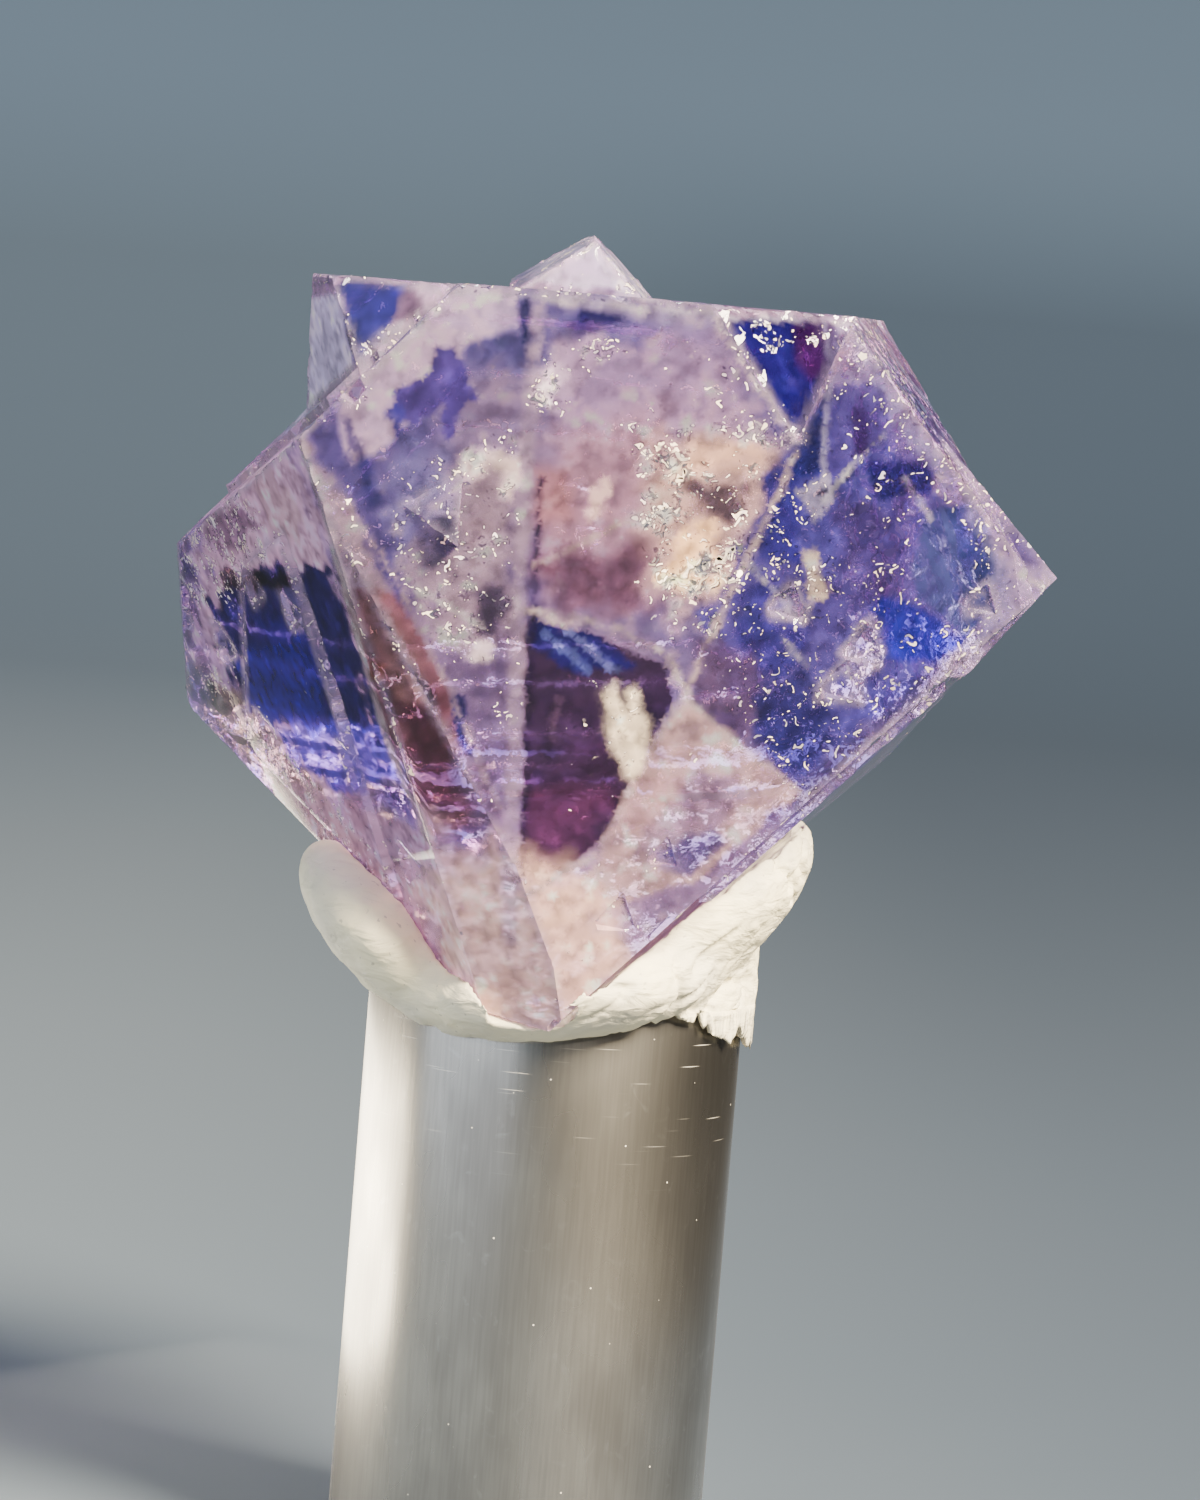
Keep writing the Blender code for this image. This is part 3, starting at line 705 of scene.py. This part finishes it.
def raiseHillocks(crystal):  # low pyramids whose sides follow the lattice
    lattice = bpy.data.objects.new("latticeAxes", None)
    bpy.context.scene.collection.objects.link(lattice)
    lattice.rotation_euler = crystalPlan["latticeTurn"]
    lattice.scale = (mm, mm, mm)
    bpy.context.view_layer.update()
    for name, (size, height, group) in growthRelief.items():
        pattern = bpy.data.textures.new(name, "VORONOI")
        pattern.distance_metric = "MANHATTAN"
        pattern.noise_scale = size
        relief = crystal.modifiers.new(name, "DISPLACE")
        relief.texture = pattern
        relief.texture_coords = "OBJECT"
        relief.texture_coords_object = lattice
        relief.strength = -height * mm
        relief.mid_level = 0.35
        relief.vertex_group = group
    applyModifiers(crystal)
    bpy.data.objects.remove(lattice, do_unlink=True)


def attributeNode(tree, name, output):
    node = tree.nodes.new("ShaderNodeAttribute")
    node.attribute_name = name
    return node.outputs[output]


def fluoriteMaterial():
    material, tree, shader = newMaterial("violetFluorite")
    point = objectPoint(tree)
    intoLattice = crystalPlan["latticeTurn"].to_matrix().transposed().to_euler()
    base = attributeNode(tree, "zoneColour", "Color")
    milk = attributeNode(tree, "milk", "Fac")
    glitter = attributeNode(tree, "glitter", "Fac")
    needles = attributeNode(tree, "needles", "Fac")

    crumple = vectorCalc(tree, "SUBTRACT", noise(tree, point, 4.0, detail=0.0, colour=True), (0.5, 0.5, 0.5))
    lattice = mapped(tree, point, turn=intoLattice)
    bent = vectorCalc(tree, "ADD", lattice, vectorCalc(tree, "SCALE", crumple, 0.8))

    def marks(vector, amount, size):  # sparse painted glints: their mask, the dark ring painted round them, random colours
        cell = cells(tree, vector, 1.0, output="Color")
        picks = parts(tree, cell)
        chosen = ranged(tree, calc(tree, "ADD", picks["X"], amount), 1.0, 1.03)
        reach = ranged(tree, picks["Y"], 0.2, 1.0, size * 0.4, size * 1.6)
        away = calc(tree, "DIVIDE", cell.node.outputs["Distance"], reach)
        spot = calc(tree, "MULTIPLY", chosen, ranged(tree, away, 1.05, 0.8))
        ring = calc(tree, "MULTIPLY", chosen, ranged(tree, away, 1.7, 1.25))
        return spot, calc(tree, "SUBTRACT", ring, spot, clamp=True), cell

    # painted glints: flecks, flakes and streaks get a warm white colour, a dark painted ring and a tilted
    # normal
    glintFleck, fleckRing, fleckCell = marks(mapped(tree, bent, scale=(3.6, 6.4, 6.4)), glitter, 0.36)
    glintStreak, streakRing, streakCell = marks(
        mapped(tree, bent, scale=(0.8, 6.0, 6.0), turn=(0.3, 0.5, 0.8)),
        calc(tree, "MULTIPLY", needles, 0.32), 0.22)
    glintFlake, flakeRing, flakeCell = marks(
        mapped(tree, bent, scale=(2.0, 2.8, 2.8)), ranged(tree, glitter, 0.25, 1.0, 0.0, 0.6), 0.34)
    bright = calc(tree, "MAXIMUM", calc(tree, "MAXIMUM", glintFleck, glintFlake), glintStreak)
    ring = calc(tree, "MAXIMUM", calc(tree, "MAXIMUM", fleckRing, flakeRing), streakRing)
    base = blend(tree, calc(tree, "MULTIPLY", ring, 0.75), base, (0.10, 0.08, 0.16, 1.0), kind="MULTIPLY")
    chance = parts(tree, fleckCell)["Z"]
    # the painted glints' warm white colour
    warm = blend(tree, chance, toLinear(250, 246, 255), toLinear(255, 232, 204))
    strength = calc(tree, "MULTIPLY", bright, ranged(tree, chance, 0.0, 0.7, 0.5, 1.0))
    setInput(tree, shader.inputs["Base Color"], blend(tree, strength, base, warm))

    facing = tree.nodes.new("ShaderNodeNewGeometry").outputs["Normal"]
    tilts = [
        (fleckCell, glintFleck, "fleckTilt"),
        (flakeCell, glintFlake, "fleckTilt"),
        (fleckCell, glitter, "crushTilt"),
        (streakCell, glintStreak, "needleTilt"),
        (flakeCell, ranged(tree, needles, 0, 1, 0.15, 1), "stepTilt"),
    ]
    for cell, share, amount in tilts:
        tilt = calc(tree, "MULTIPLY", share, crystalPlan[amount])
        tilt = vectorCalc(tree, "SCALE", vectorCalc(tree, "SUBTRACT", cell, (0.5, 0.5, 0.5)), tilt)
        facing = vectorCalc(tree, "ADD", facing, tilt)
    lean = vectorCalc(tree, "SCALE", crystalPlan["flankLean"], attributeNode(tree, "lean", "Fac"))
    facing = vectorCalc(tree, "ADD", facing, lean)
    setInput(tree, shader.inputs["Normal"], vectorCalc(tree, "NORMALIZE", facing))

    # transmission drops at the milky places and at the painted glints
    milkAndGlints = calc(tree, "MAXIMUM", calc(tree, "MULTIPLY", bright, 0.8), milk)
    setInput(tree, shader.inputs["Transmission Weight"], calc(tree, "SUBTRACT", 1.0, milkAndGlints))
    setInput(tree, shader.inputs["Roughness"], ranged(tree, milkAndGlints, 0.0, 1.0, 0.02, 0.3))
    shader.inputs["IOR"].default_value = crystalPlan["ior"]
    depth = tree.nodes.new("ShaderNodeVolumeAbsorption")
    depth.inputs["Color"].default_value = crystalPlan["absorption"]
    depth.inputs["Density"].default_value = crystalPlan["absorptionDensity"]
    tree.links.new(depth.outputs["Volume"], tree.nodes["Material Output"].inputs["Volume"])
    return material


def makeCrystal():
    crystal = copyOfNode("fluorite_crystal", "fluoriteOctahedron")
    latticeTurn = crystalPlan["latticeTurn"].to_matrix().to_4x4()
    crystal.data.transform(latticeTurn.inverted())  # the grid then cuts all octahedral faces alike
    grid = crystal.modifiers.new("evenGrid", "REMESH")
    grid.mode = "SHARP"
    grid.octree_depth = crystalPlan["gridDepth"]
    grid.scale = crystalPlan["gridFill"]
    grid.use_remove_disconnected = False
    applyModifiers(crystal)
    crystal.data.transform(latticeTurn)
    print("crystal faces", len(crystal.data.polygons))
    paintCrystal(crystal)
    raiseHillocks(crystal)
    giveMaterial(crystal, fluoriteMaterial())
    makeActive(crystal)
    bpy.ops.object.shade_smooth_by_angle(angle=math.radians(22))
    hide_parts("fluorite_crystal")
    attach(crystal, "root")


# putty

def puttyMaterial():
    material, tree, shader = newMaterial("offWhitePutty")
    point = objectPoint(tree)
    stain = noise(tree, point, 0.35, detail=4.0)
    base = blend(tree, ranged(tree, stain, 0.35, 0.65), toLinear(222, 215, 194), toLinear(253, 242, 206))
    dust = noise(tree, point, 5.0, detail=2.0)
    base = blend(tree, ranged(tree, dust, 0.68, 0.74, 0.0, 0.5), base, toLinear(150, 142, 130))
    shader.inputs["Roughness"].default_value = 0.72
    wrinkle = noise(tree, mapped(tree, point, scale=(0.7, 0.7, 2.0)), 1.2, detail=4.0, distortion=0.6)
    fibres = noise(tree, mapped(tree, point, scale=(5.0, 5.0, 0.5)), 1.0, detail=2.0)
    smear = attributeNode(tree, "smear", "Fac")
    fibred = bumped(tree, calc(tree, "MULTIPLY", fibres, smear), 0.25, below=bumped(tree, wrinkle, 0.14))
    setInput(tree, shader.inputs["Normal"], fibred)
    streaks = calc(tree, "MULTIPLY", smear, ranged(tree, fibres, 0.45, 0.62, 0.55, 0.0))
    setInput(tree, shader.inputs["Base Color"], blend(tree, streaks, base, toLinear(176, 172, 160)))
    return material


puttyPlan = {  # in millimetres
    "gridSize": 0.12,
    "creaseSize": 1.5,
    "creaseDepth": 0.2,
    "fineSize": 0.6,
    "fineDepth": 0.05,
    "creaseSlant": math.radians(38),  # the creases climb to the right at this angle
    "swell": 0.07,
    "tearDepth": 1.1,
    "tearSize": 0.32,
    "wideTearSize": 1.1,
    "tearHeight": 0.9,
    "postRadius": 5.0,
    "smearReach": (36.0, 118.0),  # degrees round the post from the front, to the right
    "smearTop": 15.7,
}


def shapePutty(putty):  # pressed wrinkles, most on the right, and the torn foot of the smear on the post
    mesh = putty.data
    spots = vertexTable(mesh, "co") / mm
    normals = vertexTable(mesh, "normal")
    slant = np.array(Matrix.Rotation(puttyPlan["creaseSlant"], 3, "Y"))
    slanted = spots @ slant.T
    fold = wander(slanted * (0.4, 1.0, 1.6), puttyPlan["creaseSize"], 2, 7)
    crease = np.exp(-(fold[:, 0] / 0.13) ** 2) * eased(fold[:, 2], -0.5, 0.1)
    fineFold = wander(slanted * (0.5, 1.0, 1.6), puttyPlan["fineSize"], 2, 9)
    fineCrease = np.exp(-(fineFold[:, 0] / 0.16) ** 2)
    toRight = 0.2 + 0.8 * eased(spots[:, 0], -0.5, 3.0)
    depth = (crease * puttyPlan["creaseDepth"] + fineCrease * puttyPlan["fineDepth"]) * toRight
    depth += fold[:, 1] * puttyPlan["swell"]
    around = np.degrees(np.arctan2(spots[:, 0], -spots[:, 1]))
    reach = np.hypot(spots[:, 0], spots[:, 1])
    low, high = puttyPlan["smearReach"]
    onSmear = (around > low - 2) & (around < high + 2) & (spots[:, 2] < puttyPlan["smearTop"])
    onSmear &= reach > puttyPlan["postRadius"] - 0.1
    depth[onSmear] *= 0.3
    spots -= normals * depth[:, None]
    columns = np.floor(around[onSmear]).astype(int)
    foot = {column: spots[onSmear][columns == column, 2].min() for column in set(columns)}
    above = spots[onSmear, 2] - np.array([foot[column] for column in columns])
    arc = np.radians(around[onSmear]) * puttyPlan["postRadius"]
    tear = np.zeros(len(arc))
    for size, row, share in ((puttyPlan["tearSize"], 3.0, 1.0), (puttyPlan["wideTearSize"], 9.0, 0.6)):
        tear += np.array([randomNoise.noise(Vector((place / size, row, 0))) for place in arc]) * share
    lift = np.clip(0.05 + tear, 0, 1.2) * puttyPlan["tearDepth"]
    spots[onSmear, 2] += lift * np.clip(1 - above / puttyPlan["tearHeight"], 0, 1)
    mesh.vertices.foreach_set("co", np.ravel(spots * mm).astype(np.float32))
    paintAttribute(mesh, "smear", "FLOAT", onSmear.astype(float))
    mesh.update()


def makePutty():
    putty = copyOfNode("mounting_putty", "puttyCup")
    grid = putty.modifiers.new("evenGrid", "REMESH")
    grid.mode = "VOXEL"
    grid.voxel_size = puttyPlan["gridSize"] * mm
    smooth = putty.modifiers.new("softForm", "SMOOTH")
    smooth.iterations = 4
    applyModifiers(putty)
    shapePutty(putty)
    print("putty faces", len(putty.data.polygons))
    giveMaterial(putty, puttyMaterial())
    bpy.ops.object.shade_smooth()
    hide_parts("mounting_putty")
    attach(putty, "root")


# post

postPlan = {"chamfer": 0.25 * mm, "sides": 192}


def steelMaterial():
    material, tree, shader = newMaterial("satinSteel")
    point = objectPoint(tree)
    smudge = noise(tree, mapped(tree, point, scale=(1, 1, 0.5)), 0.5, detail=2.5)
    cloudPoint = mapped(tree, point, scale=(1, 1, 0.8), shift=(4, 2, 9))
    cloud = noise(tree, cloudPoint, 1.6, detail=3.0, distortion=1.2)
    base = blend(tree, ranged(tree, smudge, 0.35, 0.68), toLinear(156, 152, 147), toLinear(186, 181, 174))
    base = blend(tree, ranged(tree, cloud, 0.60, 0.78, 0.0, 0.35), base, toLinear(206, 203, 200))
    grainLines = noise(tree, mapped(tree, point, scale=(6, 6, 0.25)), 2.0, detail=2.0)
    base = blend(tree, ranged(tree, grainLines, 0.3, 0.7, 0.0, 0.16), base, toLinear(96, 92, 88))
    hair = cells(tree, mapped(tree, point, scale=(0.30, 0.30, 9.0), turn=(0.10, 0.16, 0)), 1.0)
    nearTop = ranged(tree, parts(tree, point)["Z"], 10.5, 14.0)
    scratch = calc(tree, "MULTIPLY", ranged(tree, hair, 0.16, 0.06), nearTop)
    speck = cells(tree, point, 1.5)
    marks = calc(tree, "MAXIMUM", calc(tree, "MULTIPLY", scratch, 0.7), ranged(tree, speck, 0.05, 0.025))
    base = blend(tree, marks, base, toLinear(244, 238, 226))
    setInput(tree, shader.inputs["Base Color"], base)
    setInput(tree, shader.inputs["Metallic"], ranged(tree, marks, 0.0, 1.0, 1.0, 0.3))
    setInput(tree, shader.inputs["Roughness"], ranged(tree, smudge, 0.3, 0.7, 0.32, 0.26))
    return material


def makePost():
    low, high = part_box("steel_post")
    radius, height = (high.x - low.x) / 2, high.z - low.z
    deselectAll()
    bpy.ops.mesh.primitive_cylinder_add(vertices=postPlan["sides"], radius=radius, depth=height,
                                        location=(0, 0, low.z + height / 2))
    post = bpy.context.active_object
    post.name = "postRod"
    bpy.ops.object.transform_apply(location=True, rotation=True, scale=True)
    rim = post.modifiers.new("chamfer", "BEVEL")
    rim.width = postPlan["chamfer"]
    rim.segments = 3
    rim.limit_method = "ANGLE"
    rim.angle_limit = math.radians(60)
    applyModifiers(post)
    bpy.ops.object.shade_smooth_by_angle(angle=math.radians(40))
    giveMaterial(post, steelMaterial())
    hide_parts("steel_post")
    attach(post, "root")


randomNoise.seed_set(11)  # the same pattern in every run
makeCamera()
makeFloor()
makeLights()
print("stage is set")
makePost()
print("post is made")
makePutty()
print("putty is made")
makeCrystal()
print("crystal is made")
